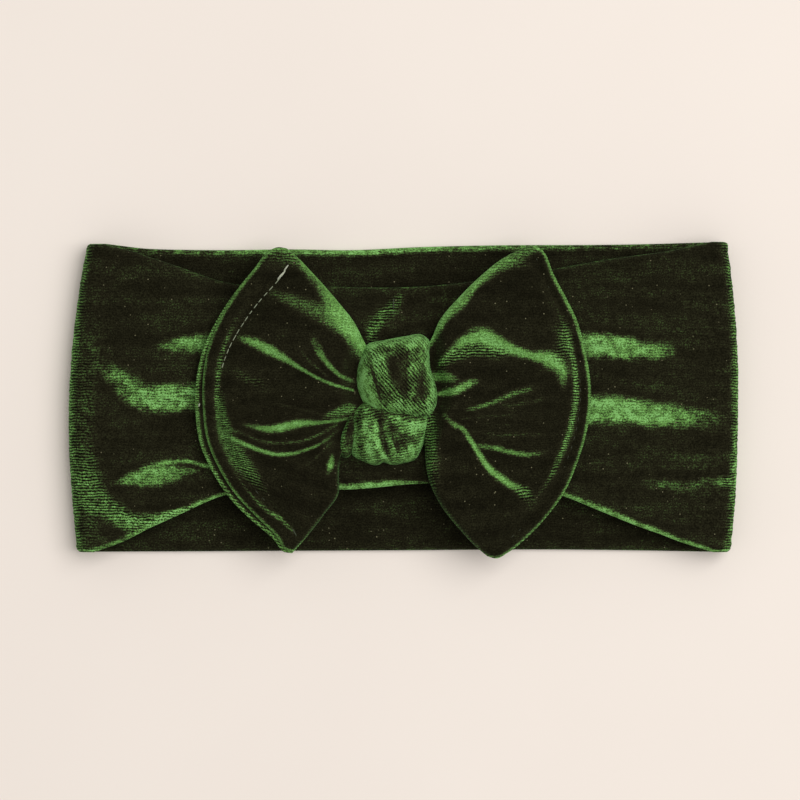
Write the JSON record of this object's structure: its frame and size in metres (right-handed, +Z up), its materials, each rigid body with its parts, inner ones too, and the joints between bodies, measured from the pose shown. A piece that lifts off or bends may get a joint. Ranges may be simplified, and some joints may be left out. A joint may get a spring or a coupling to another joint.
{
  "type": "headband",
  "caption": "Wide stretch-velvet headband, a doubled cloth loop gathered at the front under a tied knot bow with two curved wings.",
  "frame": {"origin": "middle of the footprint of the headband lying flat, on the surface that it lies on", "axes": "+X along the flat loop, +Y towards the band's upper edge, +Z up out of the bow"},
  "size_m": [0.18, 0.083, 0.0232],
  "materials": {
    "band_velvet": "dark green stretch velvet, pile bright where it turns away",
    "lining_velvet": "dark green stretch velvet, worn against the hair",
    "bow_velvet": "dark green stretch velvet with strong creases",
    "sewing_thread": "spun green-grey thread"
  },
  "bodies": {
    "back_center": {"back_center_face": "band_velvet", "back_center_lining": "lining_velvet", "center_back_seam_thread": "sewing_thread"},
    "back_left_inner": {"back_left_inner_face": "band_velvet", "back_left_inner_lining": "lining_velvet"},
    "back_left_outer": {"back_left_outer_face": "band_velvet", "back_left_outer_lining": "lining_velvet", "left_end_fold_face": "band_velvet", "left_end_fold_lining": "lining_velvet"},
    "back_right_inner": {"back_right_inner_face": "band_velvet", "back_right_inner_lining": "lining_velvet"},
    "back_right_outer": {"back_right_outer_face": "band_velvet", "back_right_outer_lining": "lining_velvet", "right_end_fold_face": "band_velvet", "right_end_fold_lining": "lining_velvet"},
    "front_center": {"front_center_face": "band_velvet", "front_center_lining": "lining_velvet", "gathering_thread": "sewing_thread", "knot_tack_thread": "sewing_thread", "knot_core": "bow_velvet", "knot_upper_wrap": "bow_velvet", "knot_lower_wrap": "bow_velvet"},
    "front_left_inner": {"front_left_inner_face": "band_velvet", "front_left_inner_lining": "lining_velvet"},
    "front_left_outer": {"front_left_outer_face": "band_velvet", "front_left_outer_lining": "lining_velvet"},
    "front_right_inner": {"front_right_inner_face": "band_velvet", "front_right_inner_lining": "lining_velvet"},
    "front_right_outer": {"front_right_outer_face": "band_velvet", "front_right_outer_lining": "lining_velvet"},
    "left_wing": {"left_wing_back_ply": "bow_velvet", "left_wing_front_ply": "bow_velvet", "left_wing_hem_thread": "sewing_thread"},
    "right_wing": {"right_wing_back_ply": "bow_velvet", "right_wing_front_ply": "bow_velvet", "right_wing_hem_thread": "sewing_thread"}
  },
  "joints": [
    {"name": "left_back_inner_crease", "type": "hinge", "parent": "back_center", "child": "back_left_inner", "pos_m": [-0.01705, 0, 0.001], "axis": [0, 1, 0], "range_deg": [0, 36]},
    {"name": "left_back_outer_crease", "type": "hinge", "parent": "back_left_inner", "child": "back_left_outer", "pos_m": [-0.05115, 0, 0.001], "axis": [0, 1, 0], "range_deg": [0, 36]},
    {"name": "left_end_fold", "type": "hinge", "parent": "back_left_outer", "child": "front_left_outer", "pos_m": [-0.08525, 0, 0.00475], "axis": [0, -1, 0], "range_deg": [0, 144], "deforming": ["left_end_fold_face", "left_end_fold_lining"]},
    {"name": "left_front_outer_crease", "type": "hinge", "parent": "front_left_outer", "child": "front_left_inner", "pos_m": [-0.05115, 0, 0.0085], "axis": [0, 1, 0], "range_deg": [0, 36]},
    {"name": "right_back_inner_crease", "type": "hinge", "parent": "back_center", "child": "back_right_inner", "pos_m": [0.01705, 0, 0.001], "axis": [0, -1, 0], "range_deg": [0, 36]},
    {"name": "right_back_outer_crease", "type": "hinge", "parent": "back_right_inner", "child": "back_right_outer", "pos_m": [0.05115, 0, 0.001], "axis": [0, -1, 0], "range_deg": [0, 36]},
    {"name": "right_end_fold", "type": "hinge", "parent": "back_right_outer", "child": "front_right_outer", "pos_m": [0.08525, 0, 0.00475], "axis": [0, 1, 0], "range_deg": [0, 144], "deforming": ["right_end_fold_face", "right_end_fold_lining"]},
    {"name": "right_front_outer_crease", "type": "hinge", "parent": "front_right_outer", "child": "front_right_inner", "pos_m": [0.05115, 0, 0.0085], "axis": [0, -1, 0], "range_deg": [0, 36]},
    {"name": "left_front_inner_crease", "type": "hinge", "parent": "front_left_inner", "child": "front_center", "pos_m": [-0.01705, 0, 0.0085], "axis": [0, 1, 0], "range_deg": [0, 36]},
    {"name": "left_wing_lift", "type": "hinge", "parent": "front_center", "child": "left_wing", "pos_m": [-0.0152, 0, 0.0179], "axis": [0, 1, 0], "range_deg": [0, 60]},
    {"name": "right_wing_lift", "type": "hinge", "parent": "front_center", "child": "right_wing", "pos_m": [0.0096, 0, 0.0179], "axis": [0, -1, 0], "range_deg": [0, 60]}
  ],
  "couplings": [
    {"joint": "left_back_outer_crease", "follows": "left_back_inner_crease", "ratio": 1},
    {"joint": "left_end_fold", "follows": "left_back_inner_crease", "ratio": 4},
    {"joint": "left_front_outer_crease", "follows": "left_back_inner_crease", "ratio": 1},
    {"joint": "right_back_inner_crease", "follows": "left_back_inner_crease", "ratio": 1},
    {"joint": "right_back_outer_crease", "follows": "left_back_inner_crease", "ratio": 1},
    {"joint": "right_end_fold", "follows": "left_back_inner_crease", "ratio": 4},
    {"joint": "right_front_outer_crease", "follows": "left_back_inner_crease", "ratio": 1},
    {"joint": "left_front_inner_crease", "follows": "left_back_inner_crease", "ratio": 1}
  ]
}
